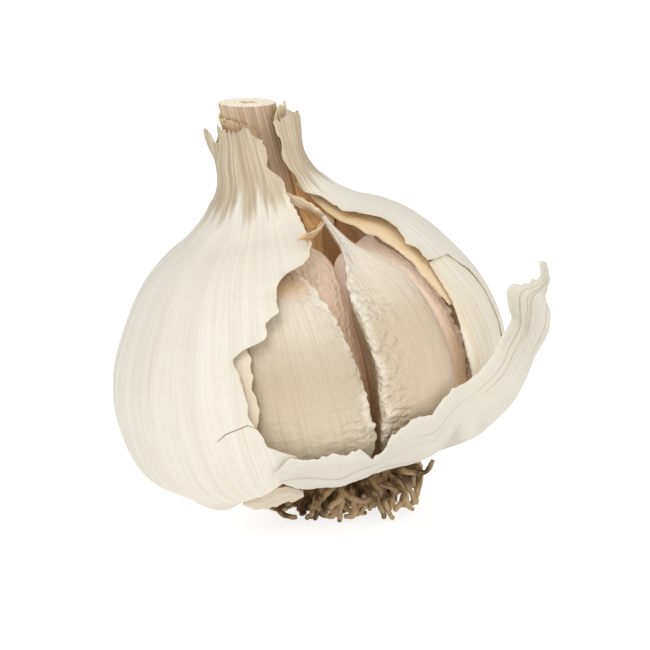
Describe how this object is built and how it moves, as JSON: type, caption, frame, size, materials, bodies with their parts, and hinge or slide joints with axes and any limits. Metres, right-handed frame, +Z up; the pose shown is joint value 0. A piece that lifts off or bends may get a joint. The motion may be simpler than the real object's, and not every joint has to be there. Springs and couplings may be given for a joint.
{
  "type": "garlic bulb",
  "caption": "Dry garlic bulb leaning on its belly and root tuft, with the papery skin torn open over the cloves and one strip peeled out and up at the side.",
  "frame": {"origin": "middle of the footprint's bounding box, at the floor", "axes": "+Z up, +X to the side where the peeled strip rises and away from which the stem leans, -Y to the torn front"},
  "size_m": [0.0636, 0.0595, 0.0617],
  "materials": {
    "paper_skin": "dry, matt, finely ribbed",
    "tan_skin": "dry, matt",
    "clove_skin": "smooth, slightly glossy",
    "inner_clove_skin": "smooth, slightly glossy",
    "stem": "dry, fibrous",
    "roots": "dry, rough"
  },
  "bodies": {
    "root": {"root_plate": "roots", "stem": "stem", "clove_front": "clove_skin", "clove_right": "clove_skin", "clove_side": "clove_skin", "clove_inner_front": "inner_clove_skin", "clove_inner_right": "inner_clove_skin", "clove_back_right": "clove_skin", "clove_back": "clove_skin", "clove_back_left": "clove_skin", "clove_left_back": "clove_skin", "clove_left": "clove_skin", "clove_left_front": "clove_skin", "outer_skin": "paper_skin", "second_skin": "paper_skin", "side_skin": "paper_skin", "peeled_skin": "paper_skin", "skin_shred": "paper_skin", "tan_sheath": "tan_skin", "core_wall": "tan_skin", "core_sleeve": "tan_skin", "dried_tail": "tan_skin", "neck_scale": "tan_skin"}
  },
  "joints": []
}
